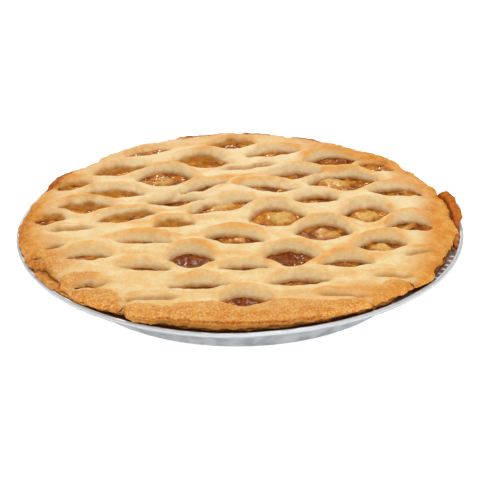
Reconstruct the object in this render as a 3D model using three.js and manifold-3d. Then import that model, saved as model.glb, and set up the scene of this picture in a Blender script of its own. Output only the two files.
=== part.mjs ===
// A nine inch apple pie with a stretched lattice lid, in its foil tin.
// Millimetres, +Z up. The origin is the middle of the tin's base and the front is towards -Y.

import * as THREE from 'three';
import { mergeVertices } from 'three/addons/utils/BufferGeometryUtils.js';
import Module from 'manifold-3d';

const wasm = await Module();
wasm.setup();

// Driving dimensions of the tin
const TIN_RADIUS = 123;
const BASE_RADIUS = 95;
const WALL_TOP_RADIUS = 111;
const FLANGE_HEIGHT = 20.9;
const FOIL = 0.6;
const BEAD_RADIUS = 1.3;
const BEAD_HEIGHT = 22.1;
const PLEATS = 48;
const PLEAT_DEPTH = 0.45;

// A stretch of the flange that is bent inwards and down, by bearing from +X in degrees and half width
const BENT = [{ bearing: 33, half: 22, inward: 2.6, down: 1.2 }];

// Driving dimensions of the pastry and the filling
const GAP = 0.3;
const UNDER_CRUST_THICKNESS = 3.6;
const UNDER_EDGE_RADIUS = 117;
const UNDER_EDGE_TOP = 23.8;
const UNDER_EDGE_RIPPLES = [{ size: 0.5, waves: 13, start: 1 }, { size: 0.4, waves: 29, start: 0 }];
const FLAKE_WIDTH = 1.9;
const FLAKE_ROOT_SHARE = 0.4;
const LID_RADIUS = 119.2;
const LID_DRIFT = { size: 0.2, bearing: 100 };
const LID_RIPPLES = [{ size: 0.3, waves: 5, start: 0.6 }, { size: 0.15, waves: 12, start: 2 }];
const LID_UNDERSIDE = 27.8;
const LID_EDGE_UNDERSIDE = 24.1;
const LID_EDGE_HEIGHT = 28.2;
const LID_HEIGHT = 31.2;
const SHOULDER = 2.9;
const EDGE_SHOULDER = 6.5;
const SEAT_WIDTH = 8.5;
const TURN_DOWN = { from: 24, to: 3 };
const ARCH = { height: 2.6, fullAt: 20, along: 0.5, behind: 4, across: 6 };
const LID_WAVES = { size: 0.35, x: 17, y: 13, start: 1 };
const FILLING_WAVES = { size: 0.35, x: 9, y: 11, start: 2 };
const FILLING_HEIGHT = 27.1;
const SPILL = { radius: 108, insideLid: 10.3 };
const LID_SIDES = 90;
const UNDER_CRUST_SIDES = 80;
const FILLING_SIDES = 44;

// The lid is one sheet cut in staggered rows and pulled open. Each row has the place of its opening
// number 0, the distance between openings, the slope and the sag of its line and the number of its first
// opening. Each opening has [length, width, turn in degrees, slide along the row, shift towards the back].
const ROWS = [
  {
    x: 3, y: -96, pitch: 52, slope: 0, sag: 0, first: -1,
    cuts: [[28, 1, 0, 1, -2], [25, 11, 0, 0, -0.8], [26, 1, 0, 0, 0]],
  },
  {
    x: 30, y: -78.5, pitch: 53, slope: 0.03, sag: 0.0002, first: -2,
    cuts: [[16, 1, 0, -3, 0], [30, 7.5, 2, 2, -1.8], [30, 8.5, 6, 0.5, 0], [20, 1, 8, 0, 0]],
  },
  {
    x: 1, y: -60.5, pitch: 54, slope: 0.02, sag: 0.0008, first: -1,
    cuts: [[26, 5.5, -8, 2, 0], [24, 5.5, 0, 0.5, 0], [28, 11.5, 2, 0.5, 0.5], [16, 2, 22, -12, 2.7]],
  },
  {
    x: 25, y: -51, pitch: 51.5, slope: 0.05, sag: 0.0012, first: -2,
    cuts: [[22, 9, 0, -2, 1.8], [24, 18, 0, 0.3, 1], [27, 17.5, 0, 1, 0], [27, 15, 9, -0.8, 3.5]],
  },
  {
    x: -2, y: -27.5, pitch: 48, slope: 0.1, sag: 0.0005, first: -2,
    cuts: [
      [9, 3, 15, -1.5, 0.5], [29, 6.5, -4, -2, 3], [31, 13, -8, -1.3, 1.4],
      [29, 24, 0, -1, 1.7], [23, 15, 0, -1.2, 1.2],
    ],
  },
  {
    x: 19, y: -6.5, pitch: 51.5, slope: 0.12, sag: 0, first: -2,
    cuts: [[20, 1, 5, -8, 2], [21, 7.5, 12, -4, 2.2], [30, 25, 8, 1.4, 3.4], [28, 20, 4, 0, 0]],
  },
  {
    x: -5, y: 11.5, pitch: 49.5, slope: 0.17, sag: 0.0003, first: -2,
    cuts: [
      [17, 13, 0, 0.3, 4], [33, 11, 20, -8.6, -1], [41, 11, 25, -4.5, 4],
      [24, 11, 3, -1.9, 3.6], [29, 12, -5, -5.6, 2.3],
    ],
  },
  {
    x: 13, y: 29.2, pitch: 49, slope: 0.24, sag: 0, first: -2,
    cuts: [[30, 12, 0, -0.9, 4.9], [30, 8, 3, 1, 0], [36, 8, -14, 3, 6], [39, 20, 3, -2.6, 0.5]],
  },
  {
    x: -18, y: 41.2, pitch: 50, slope: 0.24, sag: 0.0003, first: -1,
    cuts: [[37, 10, 3, -4.6, 5.8], [31, 7, 38, -2.3, 2.9], [28, 11.5, 6, 0.5, 5.4], [24, 15, 0, 0, 6]],
  },
  {
    x: 6, y: 60.7, pitch: 48.5, slope: 0.2, sag: 0, first: -2,
    cuts: [[20, 13, 5, -3.4, 3.2], [33, 22, 0, 0.3, -0.5], [28, 1, 10, 0, 2], [33, 17, 8, -0.8, 2.6]],
  },
  {
    x: -22, y: 77.5, pitch: 46, slope: 0.24, sag: 0, first: -1,
    cuts: [[30, 11, 16, 0, 2], [33, 18, -8, 0.8, 1.5], [32, 9, 14, -3, 4.6]],
  },
  {
    x: -3, y: 96, pitch: 49, slope: 0.12, sag: 0, first: -1,
    cuts: [[28, 7, 20, -1.5, 2.8], [31, 14, 10, -0.5, 4.6]],
  },
];
const CREASE_WIDTH = 2.5;
const CREASE_DEPTH = 2.6;
const EDGE_MARGIN = 5.5;
const UPPER_SHARE = 0.6;
const LENS_SHARPNESS = 1.35;
const LIP_THICKNESS = 0.4;

// Places where the lid's edge is broken back, or stands out where the depth is below 0, by bearing from +X
// in degrees, half width and depth
const BREAKS = [
  { bearing: 9, half: 13, depth: 3.3 },
  { bearing: 27, half: 9, depth: 3.1 },
  { bearing: 35.5, half: 3, depth: 1.8 },
  { bearing: 56, half: 4, depth: 1.8 },
  { bearing: 92, half: 17, depth: -2.3 },
  { bearing: 124, half: 11, depth: 0.9 },
  { bearing: 139, half: 6, depth: 3.5 },
  { bearing: 151, half: 6, depth: -0.5 },
  { bearing: 167, half: 9, depth: 1.3 },
  { bearing: 191, half: 18, depth: -2 },
  { bearing: 212, half: 8, depth: 4.4 },
  { bearing: 229, half: 8, depth: -1 },
  { bearing: 238, half: 4, depth: 1 },
  { bearing: 245.3, half: 5.5, depth: -2.4 },
  { bearing: 324, half: 6, depth: -1.4 },
  { bearing: 331, half: 4, depth: 2.4 },
  { bearing: 343, half: 9, depth: 0.8 },
];

// Flakes of the under crust's edge that stand out past the lid, with how far out and how high they reach
const FLAKES = [
  { bearing: 5, half: 17, out: 6.6, up: 5.4 },
  { bearing: 218, half: 26, out: 4, up: 0 },
  { bearing: 287, half: 50, out: 2.4, up: 0 },
];

// Apple pieces that show, by row and number of the opening, with their share of it and their rise
const APPLES = [
  { row: 3, number: 4, along: 0.0, long: 0.6, wide: 0.8, rise: 1.8 },
  { row: 4, number: 3, along: -0.02, long: 0.5, wide: 0.7, rise: 0.8 },
  { row: 4, number: 4, along: 0.05, long: 0.66, wide: 0.66, rise: 1.0 },
  { row: 4, number: 5, along: -0.12, long: 0.55, wide: 0.7, rise: 1.4 },
  { row: 5, number: 2, along: -0.05, long: 0.6, wide: 0.8, rise: 1.2 },
  { row: 5, number: 3, along: 0.08, long: 0.68, wide: 0.72, rise: 2.4 },
  { row: 5, number: 4, along: -0.03, long: 0.68, wide: 0.72, rise: 1.8 },
  { row: 6, number: 3, along: -0.04, long: 0.6, wide: 0.8, rise: 1.5 },
  { row: 7, number: 4, along: -0.14, long: 0.52, wide: 0.76, rise: 1.8 },
  { row: 9, number: 2, along: -0.12, long: 0.56, wide: 0.66, rise: 1.4 },
];
const APPLE_DEPTH = 11;
const APPLE_SQUARENESS = 0.8;
const APPLE_TILT = 0.12;

// Plain raised marks on the tin's flange
const MARKS = { count: 7, first: -33, step: 2.6, radius: 119.3, length: 1.5, width: 2.6, height: 0.4 };

const COLOURS = {
  foil: '#c9ccd0',
  lid: '#ecc07c',
  underCrust: '#b3692a',
  filling: '#7b350f',
  apple: '#d6a94c',
};

// Small helpers

const radians = (degrees) => degrees * Math.PI / 180;
const turnOf = (step, steps) => 2 * Math.PI * step / steps;

// 1 over the middle part of the half width, falling smoothly to 0 at its end
function smoothBump(distance, half) {
  return 1 - THREE.MathUtils.smoothstep(Math.abs(distance), 0.45 * half, half);
}

function ripple(waves, angle) {
  return waves.reduce((sum, wave) => sum + wave.size * Math.sin(wave.waves * angle + wave.start), 0);
}

function crossedWaves(waves, x, y) {
  return waves.size * Math.sin(x / waves.x + waves.start) * Math.cos(y / waves.y);
}

function bearingBetween(angle, bearing) {
  const apart = THREE.MathUtils.euclideanModulo(angle * 180 / Math.PI - bearing, 360);
  return apart > 180 ? apart - 360 : apart;
}

function total(places, angle, size) {
  return places.reduce((sum, place) => {
    return sum + place[size] * smoothBump(bearingBetween(angle, place.bearing), place.half);
  }, 0);
}

function namedMesh(name, geometry, colour, roughness, metalness) {
  geometry.computeVertexNormals();
  const material = new THREE.MeshStandardMaterial({ color: colour, roughness, metalness });
  const mesh = new THREE.Mesh(geometry, material);
  mesh.name = name;
  return mesh;
}

function geometryOf(points, faces) {
  const geometry = new THREE.BufferGeometry();
  geometry.setAttribute('position', new THREE.Float32BufferAttribute(points.flat(), 3));
  geometry.setIndex(faces.flat());
  return geometry;
}

// A body turned about the axis. The profile runs from the axis below to the axis above, and place
// gives the point at one of its [radius, height] pairs and an angle.
function turnedBody(profile, sides, place) {
  const points = [place(...profile[0], 0)];
  const inner = profile.slice(1, -1);
  for (const [radius, height] of inner) {
    for (let side = 0; side < sides; side += 1) {
      points.push(place(radius, height, turnOf(side, sides)));
    }
  }
  points.push(place(...profile[profile.length - 1], 0));
  const top = points.length - 1;
  const at = (ring, side) => 1 + ring * sides + side % sides;
  const faces = [];
  for (let side = 0; side < sides; side += 1) {
    faces.push([0, at(0, side + 1), at(0, side)]);
    for (let ring = 0; ring + 1 < inner.length; ring += 1) {
      faces.push([at(ring, side), at(ring, side + 1), at(ring + 1, side)]);
      faces.push([at(ring, side + 1), at(ring + 1, side + 1), at(ring + 1, side)]);
    }
    faces.push([at(inner.length - 1, side), at(inner.length - 1, side + 1), top]);
  }
  return geometryOf(points, faces);
}

function onCircle(radius, height, angle) {
  return [radius * Math.cos(angle), radius * Math.sin(angle), height];
}

// Joins and cuts

function solidOf(geometry) {
  const bare = geometry.clone();
  bare.deleteAttribute('normal');
  bare.deleteAttribute('uv');
  const merged = mergeVertices(bare, 1e-4);
  return new wasm.Manifold(new wasm.Mesh({
    numProp: 3,
    vertProperties: new Float32Array(merged.attributes.position.array),
    triVerts: new Uint32Array(merged.index.array),
  }));
}

function geometryFrom(solid) {
  const mesh = solid.getMesh();
  const geometry = new THREE.BufferGeometry();
  geometry.setAttribute('position', new THREE.Float32BufferAttribute(mesh.vertProperties, 3));
  geometry.setIndex(new THREE.Uint32BufferAttribute(mesh.triVerts, 1));
  return geometry;
}

// The foil tin: a flat base, a pleated wall, a wide flange and a rolled edge

function tinProfile() {
  const beadMiddle = TIN_RADIUS - BEAD_RADIUS;
  const bead = [-70, -15, 40, 95, 150].map((turn) => [
    beadMiddle + BEAD_RADIUS * Math.cos(radians(turn)),
    BEAD_HEIGHT + BEAD_RADIUS * Math.sin(radians(turn)),
  ]);
  return [
    [0, 0],
    [BASE_RADIUS - 2.5, 0],
    [BASE_RADIUS + 0.6, 1.2],
    [BASE_RADIUS + 2, 3.4],
    [WALL_TOP_RADIUS - 0.6, FLANGE_HEIGHT - 1.4],
    [WALL_TOP_RADIUS + 1.4, FLANGE_HEIGHT - 0.2],
    [TIN_RADIUS - 2.4, FLANGE_HEIGHT],
    ...bead,
    [TIN_RADIUS - 2.9, FLANGE_HEIGHT + FOIL],
    [WALL_TOP_RADIUS + 1.2, FLANGE_HEIGHT - 0.2 + FOIL],
    [WALL_TOP_RADIUS - 1.2, FLANGE_HEIGHT - 1.2],
    [BASE_RADIUS + 1.4, 3.6],
    [BASE_RADIUS, 1.7],
    [BASE_RADIUS - 2.8, FOIL],
    [0, FOIL],
  ];
}

// The pleats start above the base's corner, are deepest under the flange and stop where it starts
function pleat(radius, angle) {
  const rise = (radius - BASE_RADIUS) / (WALL_TOP_RADIUS - BASE_RADIUS);
  const share = rise > 0 && rise < 1.02 ? Math.sqrt(rise) : 0;
  return PLEAT_DEPTH * share * Math.cos(PLEATS * angle);
}

function flangeMark(index) {
  const bar = new THREE.BoxGeometry(MARKS.width, MARKS.length, 2 * MARKS.height);
  bar.translate(MARKS.radius - 0.3, 0, FLANGE_HEIGHT + FOIL);
  bar.rotateZ(radians(MARKS.first + MARKS.step * index));
  return solidOf(bar);
}

function pieTin() {
  const place = (radius, height, angle) => {
    const share = THREE.MathUtils.smoothstep(radius, WALL_TOP_RADIUS + 1.4, TIN_RADIUS - 3);
    const inward = pleat(radius, angle) - share * total(BENT, angle, 'inward');
    return onCircle(radius + inward, height - share * total(BENT, angle, 'down'), angle);
  };
  const shell = turnedBody(tinProfile(), 2 * PLEATS, place);
  let tin = solidOf(shell);
  for (let index = 0; index < MARKS.count; index += 1) {
    tin = tin.add(flangeMark(index));
  }
  return namedMesh('pie_tin', geometryFrom(tin), COLOURS.foil, 0.32, 1);
}

// The under crust: a pastry shell in the tin, with an uneven edge on the flange

function underCrust() {
  const room = GAP + PLEAT_DEPTH;
  const wall = UNDER_CRUST_THICKNESS;
  const flangeTop = FLANGE_HEIGHT + FOIL + GAP;
  const edge = UNDER_EDGE_RADIUS;
  const profile = [
    [0, FOIL + GAP],
    [BASE_RADIUS - 4, FOIL + GAP],
    [BASE_RADIUS + 1.2 - room, 4.2],
    [WALL_TOP_RADIUS - 1.6 - room, FLANGE_HEIGHT - 0.6],
    [WALL_TOP_RADIUS + 1, flangeTop],
    [edge - 0.6, flangeTop + 0.2],
    [edge, flangeTop + 1.1],
    [edge - 0.7, UNDER_EDGE_TOP],
    [edge - FLAKE_WIDTH, UNDER_EDGE_TOP],
    [WALL_TOP_RADIUS - 3.4 - wall, UNDER_EDGE_TOP],
    [BASE_RADIUS - 1 - wall, 6 + FOIL],
    [BASE_RADIUS - 6 - wall, FOIL + GAP + wall],
    [0, FOIL + GAP + wall],
  ];
  const place = (radius, height, angle) => {
    const lidEdge = Math.max(...[-4, 0, 4].map((turn) => lidRadius(angle + radians(turn))));
    const root = FLAKE_ROOT_SHARE * total(FLAKES, angle, 'out');
    const pastLid = edge - FLAKE_WIDTH + root - lidEdge - GAP;
    if (radius === edge - FLAKE_WIDTH) {
      return onCircle(radius + root, height, angle);
    }
    const isLip = radius === edge - 0.7;
    const free = isLip ? THREE.MathUtils.clamp(pastLid / 0.8, 0, 1) : 0;
    const onEdge = Math.max(free, THREE.MathUtils.smoothstep(radius, edge - 1.5, edge));
    const out = onEdge * (ripple(UNDER_EDGE_RIPPLES, angle) + total(FLAKES, angle, 'out'));
    const short = isLip ? THREE.MathUtils.lerp(1.8, 0.2, free) : 3.6;
    const reach = TIN_RADIUS - short - total(BENT, angle, 'inward');
    return onCircle(Math.min(radius + out, reach), height + free * total(FLAKES, angle, 'up'), angle);
  };
  const shell = turnedBody(profile, UNDER_CRUST_SIDES, place);
  return namedMesh('bottom_crust', shell, COLOURS.underCrust, 0.8, 0);
}

// The openings of the lid

function openings() {
  return ROWS.flatMap((row, index) => row.cuts.map(([length, width, turn, slide, shift], place) => {
    const x = row.x + (row.first + place) * row.pitch + slide;
    const y = row.y + row.slope * x + row.sag * x * x + shift;
    return keptInside({ row: index, number: place + 1, x, y, length, width, turn: radians(turn) });
  }));
}

// An opening that would run out over the edge is shortened and moved inwards
function keptInside(opening) {
  const isOver = (point) => point.length() > lidRadius(point.angle()) - EDGE_MARGIN;
  const fitted = { ...opening };
  while (lens(fitted).some(isOver)) {
    const step = 0.5 / Math.hypot(fitted.x, fitted.y);
    fitted.x -= step * fitted.x;
    fitted.y -= step * fitted.y;
    fitted.length -= 0.5;
  }
  return fitted;
}

function isOpen(opening) {
  return opening.width > CREASE_WIDTH;
}

function toSheet(opening, along, across) {
  return new THREE.Vector2(
    opening.x + along * Math.cos(opening.turn) - across * Math.sin(opening.turn),
    opening.y + along * Math.sin(opening.turn) + across * Math.cos(opening.turn),
  );
}

// A lens with pointed ends, fuller towards the back where the strand is pushed up
function lens(opening) {
  const steps = isOpen(opening) ? 14 : 10;
  const width = Math.max(opening.width, 1);
  return Array.from({ length: steps }, (_, step) => {
    const angle = turnOf(step, steps);
    const side = Math.sin(angle);
    const share = side > 0 ? UPPER_SHARE : 1 - UPPER_SHARE;
    const across = width * share * Math.sign(side) * Math.abs(side) ** LENS_SHARPNESS;
    return toSheet(opening, opening.length / 2 * Math.cos(angle), across);
  });
}

function lidRadius(angle) {
  const drift = LID_DRIFT.size * Math.cos(angle - radians(LID_DRIFT.bearing));
  return LID_RADIUS + drift + ripple(LID_RIPPLES, angle) - total(BREAKS, angle, 'depth');
}

function lidOutline(sides) {
  return Array.from({ length: sides }, (_, side) => {
    const angle = turnOf(side, sides);
    const radius = lidRadius(angle);
    return new THREE.Vector2(radius * Math.cos(angle), radius * Math.sin(angle));
  });
}

// Moves a closed outline to its right-hand side, each point by its own distance
function moved(outline, distances) {
  const count = outline.length;
  return outline.map((point, index) => {
    const before = outline[(index + count - 1) % count];
    const after = outline[(index + 1) % count];
    const along = after.clone().sub(before).normalize();
    return new THREE.Vector2(point.x + along.y * distances[index], point.y - along.x * distances[index]);
  });
}

// Moves each point of an outline towards the axis by its own distance
function drawnIn(outline, distances) {
  return outline.map((point, index) => point.clone().setLength(point.length() - distances[index]));
}

// Each point's shoulder is narrower where another outline is near
function shoulders(outline, others, widest, share = 0.4) {
  return outline.map((point) => {
    const nearest = Math.min(...others.flat().map((other) => point.distanceTo(other)));
    return Math.min(widest, share * nearest);
  });
}

// Heights of the lid. It is nearly flat, turns down at its edge, and each strand behind an opening arches.
function archAt(cuts, x, y) {
  return cuts.reduce((height, cut) => {
    const away = new THREE.Vector2(x - cut.x, y - cut.y).rotateAround(new THREE.Vector2(), -cut.turn);
    const crest = cut.width * UPPER_SHARE + ARCH.behind;
    const along = Math.exp(-((away.x / (ARCH.along * cut.length)) ** 2));
    const across = Math.exp(-(((away.y - crest) / ARCH.across) ** 2));
    return height + ARCH.height * Math.min(1, cut.width / ARCH.fullAt) * along * across;
  }, 0);
}

function lidTop(cuts, x, y) {
  const radius = Math.hypot(x, y);
  const { from, to } = TURN_DOWN;
  const turnDown = THREE.MathUtils.smoothstep(radius, LID_RADIUS - from, LID_RADIUS - to);
  const flat = THREE.MathUtils.lerp(LID_HEIGHT, LID_EDGE_HEIGHT, turnDown);
  return flat + crossedWaves(LID_WAVES, x, y) + archAt(cuts, x, y);
}

function lidUnderside(cuts, x, y) {
  return LID_UNDERSIDE + 0.6 * archAt(cuts, x, y);
}

// Gathers the lid's rings of points and the bands of faces between them
class Sheet {
  constructor() {
    this.points = [];
    this.faces = [];
  }

  ring(outline, heightAt) {
    const first = this.points.length;
    outline.forEach(({ x, y }) => this.points.push([x, y, heightAt(x, y)]));
    return { first, outline };
  }

  // Faces between two rings that run anticlockwise. They look up where the second ring is the inner one.
  band(outer, inner) {
    const count = outer.outline.length;
    for (let index = 0; index < count; index += 1) {
      const next = (index + 1) % count;
      this.faces.push([outer.first + index, outer.first + next, inner.first + index]);
      this.faces.push([outer.first + next, inner.first + next, inner.first + index]);
    }
  }

  cap(edge, holes, looksUp) {
    const rings = [edge, ...holes];
    const numbers = rings.flatMap((ring) => ring.outline.map((_, index) => ring.first + index));
    const flat = THREE.ShapeUtils.triangulateShape(edge.outline, holes.map((hole) => hole.outline));
    for (const [a, b, c] of flat) {
      const [p, q, r] = [a, b, c].map((corner) => this.points[numbers[corner]]);
      const isUpward = (q[0] - p[0]) * (r[1] - p[1]) > (q[1] - p[1]) * (r[0] - p[0]);
      const [second, third] = isUpward === looksUp ? [b, c] : [c, b];
      this.faces.push([numbers[a], numbers[second], numbers[third]]);
    }
  }
}

// One opening: a rounded shoulder, then a straight cut wall, or a shallow crease where it stayed shut
function cutOpening(sheet, cuts, opening, outline, others) {
  const widths = shoulders(outline, others, SHOULDER);
  const top = (x, y) => lidTop(cuts, x, y);
  const shoulder = sheet.ring(moved(outline, widths), top);
  const middle = sheet.ring(moved(outline, widths.map((width) => 0.35 * width)), (x, y) => top(x, y) - 0.8);
  const lip = sheet.ring(outline, (x, y) => {
    return Math.max(top(x, y) - CREASE_DEPTH, lidUnderside(cuts, x, y) + LIP_THICKNESS);
  });
  sheet.band(shoulder, middle);
  sheet.band(middle, lip);
  if (!isOpen(opening)) {
    sheet.cap(lip, [], true);
    return { shoulder };
  }
  const foot = sheet.ring(outline, (x, y) => lidUnderside(cuts, x, y));
  sheet.band(lip, foot);
  return { shoulder, foot };
}

// The lid's edge: it rounds over from the crown to the rim, and under it runs in to a level seat
function turnedEdge(sheet, cuts, outlines, edge) {
  const insets = shoulders(edge, outlines, EDGE_SHOULDER);
  const top = (x, y) => lidTop(cuts, x, y);
  const inward = (share) => drawnIn(edge, insets.map((inset) => share * inset));
  const openOutlines = outlines.filter((_, index) => isOpen(cuts[index]));
  const seatInsets = shoulders(edge, openOutlines, SEAT_WIDTH, 0.75);
  const rings = [
    sheet.ring(drawnIn(edge, seatInsets), () => LID_UNDERSIDE),
    sheet.ring(drawnIn(edge, insets.map(() => 1.2)), () => LID_EDGE_UNDERSIDE),
    sheet.ring(edge, () => LID_EDGE_UNDERSIDE + 1),
    sheet.ring(inward(0.1), () => LID_EDGE_HEIGHT - 0.6),
    sheet.ring(inward(0.45), (x, y) => Math.min(top(x, y), LID_EDGE_HEIGHT + 0.8) - 0.5),
    sheet.ring(inward(1), top),
  ];
  rings.slice(1).forEach((ring, index) => sheet.band(rings[index], ring));
  return { seat: rings[0], crown: rings[rings.length - 1] };
}

function lattice() {
  const cuts = openings();
  const outlines = cuts.map(lens);
  const edge = lidOutline(LID_SIDES);
  const sheet = new Sheet();
  const cutRings = cuts.map((opening, index) => {
    const others = outlines.filter((_, other) => other !== index);
    return cutOpening(sheet, cuts, opening, outlines[index], [...others, edge]);
  });
  const { seat, crown } = turnedEdge(sheet, cuts, outlines, edge);
  const feet = cutRings.filter((rings) => rings.foot).map((rings) => rings.foot);
  sheet.cap(crown, cutRings.map((rings) => rings.shoulder), true);
  sheet.cap(seat, feet, false);
  return namedMesh('lattice_top', geometryOf(sheet.points, sheet.faces), COLOURS.lid, 0.7, 0);
}

// Apple pieces: blocks with soft corners that stand in the filling under their openings

function appleBlock(opening, apple, slack) {
  const block = new THREE.IcosahedronGeometry(1, 1);
  const half = new THREE.Vector3(
    apple.long * opening.length / 2 + slack,
    apple.wide * opening.width / 2 + slack,
    APPLE_DEPTH / 2 + slack,
  );
  const corners = block.attributes.position;
  const boxed = (value) => Math.sign(value) * Math.abs(value) ** APPLE_SQUARENESS;
  for (let index = 0; index < corners.count; index += 1) {
    const tilt = 1 + APPLE_TILT * corners.getX(index);
    corners.setXYZ(
      index,
      half.x * boxed(corners.getX(index)),
      half.y * boxed(corners.getY(index)),
      half.z * boxed(corners.getZ(index)) * tilt,
    );
  }
  const towardsBack = (UPPER_SHARE - 0.5) * opening.width;
  const middle = toSheet(opening, apple.along * opening.length, towardsBack);
  block.rotateZ(opening.turn);
  block.translate(middle.x, middle.y, FILLING_HEIGHT + apple.rise - APPLE_DEPTH / 2);
  return block;
}

function openingOf(cuts, apple) {
  return cuts.find((cut) => cut.row === apple.row && cut.number === apple.number);
}

function applePieces() {
  const cuts = openings();
  return APPLES.map((apple, index) => {
    const block = appleBlock(openingOf(cuts, apple), apple, 0);
    return namedMesh(`apple_piece_${index + 1}`, geometryFrom(solidOf(block)), COLOURS.apple, 0.35, 0);
  });
}

// The filling: runs right through under the lid and spills a little over the under crust's inner edge. It
// has a socket for each piece.

function filling() {
  const floor = FOIL + 2 * GAP + UNDER_CRUST_THICKNESS;
  const wall = UNDER_CRUST_THICKNESS + GAP;
  const topRadius = WALL_TOP_RADIUS - 4.4 - wall;
  const rings = [0.97, 0.62, 0.3].map((share) => [share * SPILL.radius, FILLING_HEIGHT]);
  const profile = [
    [0, floor],
    [BASE_RADIUS - 6.6 - wall, floor],
    [BASE_RADIUS - 1.6 - wall, 6.6 + FOIL],
    [topRadius, UNDER_EDGE_TOP - 0.9],
    [topRadius + 0.5, UNDER_EDGE_TOP + 0.4],
    [SPILL.radius, UNDER_EDGE_TOP + 0.4],
    [SPILL.radius, FILLING_HEIGHT - 1.1],
    ...rings,
    [0, FILLING_HEIGHT],
  ];
  const place = (radius, height, angle) => {
    const point = onCircle(Math.min(radius, lidRadius(angle) - SPILL.insideLid), height, angle);
    const isTop = height === FILLING_HEIGHT ? 1 : 0;
    point[2] += isTop * crossedWaves(FILLING_WAVES, point[0], point[1]);
    return point;
  };
  const cuts = openings();
  const sockets = APPLES.map((apple) => solidOf(appleBlock(openingOf(cuts, apple), apple, GAP)));
  const whole = solidOf(turnedBody(profile, FILLING_SIDES, place));
  const body = sockets.reduce((left, socket) => left.subtract(socket), whole);
  return namedMesh('filling', geometryFrom(body), COLOURS.filling, 0.2, 0);
}

const pie = new THREE.Group();
pie.add(pieTin());
pie.add(underCrust());
pie.add(filling());
applePieces().forEach((piece) => pie.add(piece));
pie.add(lattice());

export default pie;
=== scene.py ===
"""A lattice apple pie in its foil tin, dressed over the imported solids.

Lengths are worked out in millimetres and become metres where a mesh is made. +X is to the viewer's
right, -Y is towards the viewer and +Z is up. Bearings are in degrees from +X, anticlockwise from above.
"""

import itertools
import math

import bpy
import numpy as np
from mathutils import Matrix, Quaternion, Vector


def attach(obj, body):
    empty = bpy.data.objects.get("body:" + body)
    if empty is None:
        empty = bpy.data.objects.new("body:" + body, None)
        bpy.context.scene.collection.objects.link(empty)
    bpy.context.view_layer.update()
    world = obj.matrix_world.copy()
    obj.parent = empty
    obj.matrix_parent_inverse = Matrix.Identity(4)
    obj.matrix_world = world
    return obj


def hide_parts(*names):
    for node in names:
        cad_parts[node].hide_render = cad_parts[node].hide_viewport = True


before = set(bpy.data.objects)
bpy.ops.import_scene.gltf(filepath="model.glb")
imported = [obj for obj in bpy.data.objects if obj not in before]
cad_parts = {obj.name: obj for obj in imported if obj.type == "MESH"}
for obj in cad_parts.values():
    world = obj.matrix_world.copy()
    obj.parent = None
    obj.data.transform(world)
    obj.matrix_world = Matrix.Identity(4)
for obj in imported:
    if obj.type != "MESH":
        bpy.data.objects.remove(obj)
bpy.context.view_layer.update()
MM = 0.001

# The camera

VIEW_ELEVATION = math.radians(26.95)
VIEW_DISTANCE = 1.107
VIEW_AIM = Vector((0, 0, 0.0153))
VIEW_ROLL = math.radians(-0.625)
LENS = 148.94
SENSOR = 36


def add_camera():
    data = bpy.data.cameras.new("camera")
    data.lens = LENS
    data.sensor_width = SENSOR
    camera = bpy.data.objects.new("camera", data)
    camera.location = (0, -VIEW_DISTANCE * math.cos(VIEW_ELEVATION), VIEW_DISTANCE * math.sin(VIEW_ELEVATION))
    camera.rotation_mode = "QUATERNION"
    look = (VIEW_AIM - camera.location).to_track_quat("-Z", "Y")
    camera.rotation_quaternion = look @ Quaternion((0, 0, 1), VIEW_ROLL)
    bpy.context.scene.collection.objects.link(camera)
    bpy.context.scene.camera = camera


add_camera()

# The tin, as in the solids

TIN_RADIUS = 123
BASE_RADIUS = 95
WALL_TOP_RADIUS = 111
FLANGE_HEIGHT = 20.9
FOIL = 0.6
BEAD_RADIUS = 1.3
BEAD_HEIGHT = 22.1
PLEATS = 48
PLEAT_DEPTH = 0.42
TIN_SIDES = 720
MARKS = dict(count=7, first=-33, step=2.6, radius=119.3, length=1.5, width=2.6, height=0.4)

# The pastry and the filling, as in the solids

GAP = 0.3
UNDER_CRUST_THICKNESS = 3.6
UNDER_EDGE_RADIUS = 117
UNDER_EDGE_TOP = 23.8
FLAKE_WIDTH = 1.9
LID_RADIUS = 119.2
LID_DRIFT = dict(size=0.2, bearing=100)
LID_RIPPLES = ((0.3, 5, 0.6), (0.15, 12, 2))
LID_UNDERSIDE = 27.8
LID_EDGE_UNDERSIDE = 24.1
LID_EDGE_HEIGHT = 28.2
LID_HEIGHT = 31.2
FILLING_HEIGHT = 27.1
SPILL_RADIUS = 112.5
SPILL_INSIDE_LID = 6.5

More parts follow.
